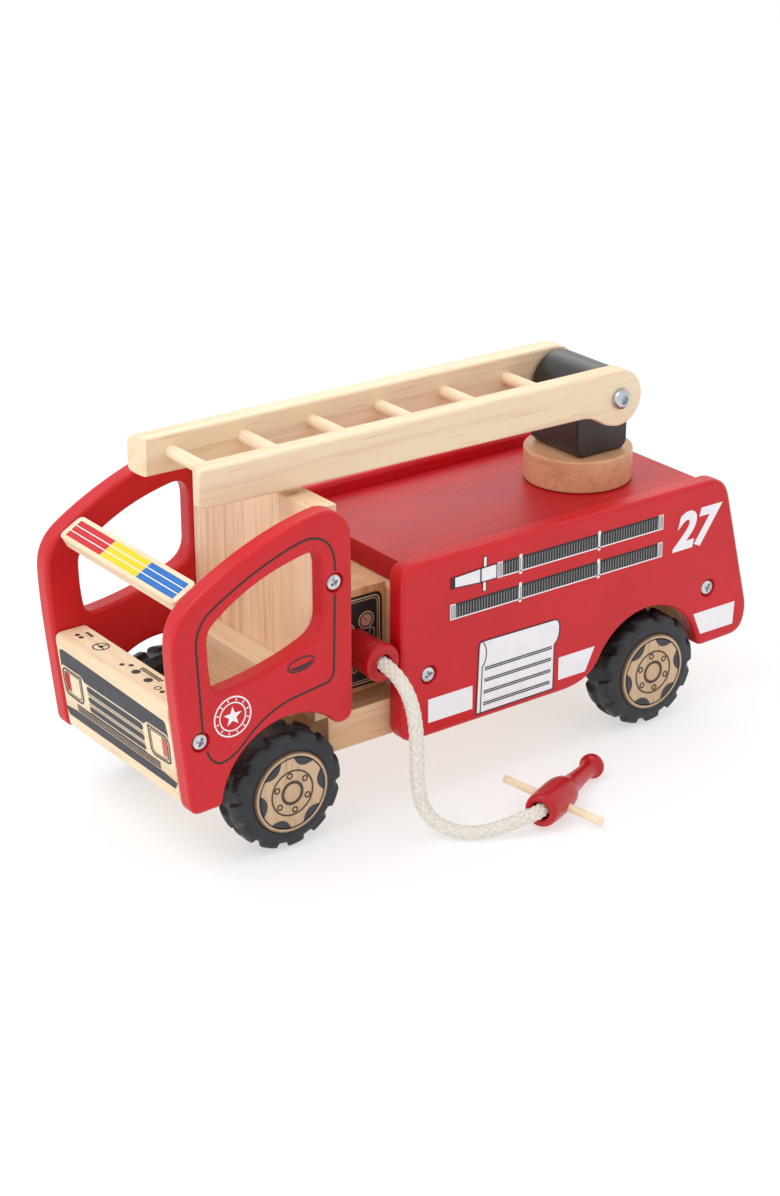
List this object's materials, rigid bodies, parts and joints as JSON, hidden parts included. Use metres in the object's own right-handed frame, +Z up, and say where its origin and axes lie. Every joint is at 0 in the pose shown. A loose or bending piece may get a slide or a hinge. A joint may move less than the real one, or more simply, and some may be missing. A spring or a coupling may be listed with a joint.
{
  "type": "toy fire engine",
  "caption": "Wooden toy fire engine with an open cab, rolling wheels, a ladder that lifts and turns on a turntable, and a short rope hose with a nozzle.",
  "frame": {"origin": "centre of the engine's bounding box on the ground under the wheels, hose and nozzle left out", "axes": "+X from the front of the engine to its rear, +Y to its right side, +Z up"},
  "size_m": [0.3345, 0.191, 0.1772],
  "materials": {
    "red_paint": "satin red lacquer on ply",
    "natural_wood": "clear satin lacquer on rubberwood",
    "black_wood": "satin black lacquer",
    "tyre_rubber": "matt moulded rubber",
    "zinc_steel": "bright zinc plate",
    "cotton_rope": "soft braided cotton"
  },
  "bodies": {
    "root": {"cab_side_left": "red_paint", "cab_side_right": "red_paint", "body_side_left": "red_paint", "body_side_right": "red_paint", "cab_screw_left_1": "zinc_steel", "cab_screw_left_2": "zinc_steel", "cab_screw_right_1": "zinc_steel", "cab_screw_right_2": "zinc_steel", "body_screw_left_1": "zinc_steel", "body_screw_left_2": "zinc_steel", "body_screw_right_1": "zinc_steel", "body_screw_right_2": "zinc_steel", "base_board": "natural_wood", "seat_board": "natural_wood", "bulkhead": "natural_wood", "bumper_block": "natural_wood", "light_bar": "natural_wood", "pump_block": "natural_wood", "body_front_board": "natural_wood", "body_rear_board": "natural_wood", "top_panel": "red_paint", "axle_block_front": "natural_wood", "axle_block_rear": "natural_wood", "spout": "red_paint", "hose": "cotton_rope", "nozzle": "red_paint", "nozzle_cross_pin": "natural_wood"},
    "front_axle": {"axle_front": "zinc_steel", "tyre_front_left": "tyre_rubber", "hub_front_left": "natural_wood", "tyre_front_right": "tyre_rubber", "hub_front_right": "natural_wood"},
    "rear_axle": {"axle_rear": "zinc_steel", "tyre_rear_left": "tyre_rubber", "hub_rear_left": "natural_wood", "tyre_rear_right": "tyre_rubber", "hub_rear_right": "natural_wood"},
    "turntable": {"turntable_disc": "natural_wood", "turntable_block": "black_wood", "turntable_pin": "zinc_steel", "ladder_bolt": "zinc_steel", "ladder_nut": "zinc_steel", "ladder_washer_left": "zinc_steel", "ladder_washer_right": "zinc_steel"},
    "ladder": {"ladder_rail_left": "natural_wood", "ladder_rail_right": "natural_wood", "ladder_rung_1": "natural_wood", "ladder_rung_2": "natural_wood", "ladder_rung_3": "natural_wood", "ladder_rung_4": "natural_wood", "ladder_rung_5": "natural_wood", "ladder_rung_6": "natural_wood"}
  },
  "joints": [
    {"name": "front_axle_spin", "type": "hinge", "parent": "root", "child": "front_axle", "pos_m": [-0.1095, 0, 0.029], "axis": [0, 1, 0], "continuous": true},
    {"name": "rear_axle_spin", "type": "hinge", "parent": "root", "child": "rear_axle", "pos_m": [0.1044, 0, 0.029], "axis": [0, 1, 0], "continuous": true},
    {"name": "turntable_spin", "type": "hinge", "parent": "root", "child": "turntable", "pos_m": [0.1046, 0, 0.12], "axis": [0, 0, 1], "continuous": true},
    {"name": "ladder_tilt", "type": "hinge", "parent": "turntable", "child": "ladder", "pos_m": [0.1046, 0, 0.162], "axis": [0, 1, 0], "range_deg": [-0.8, 175]}
  ]
}
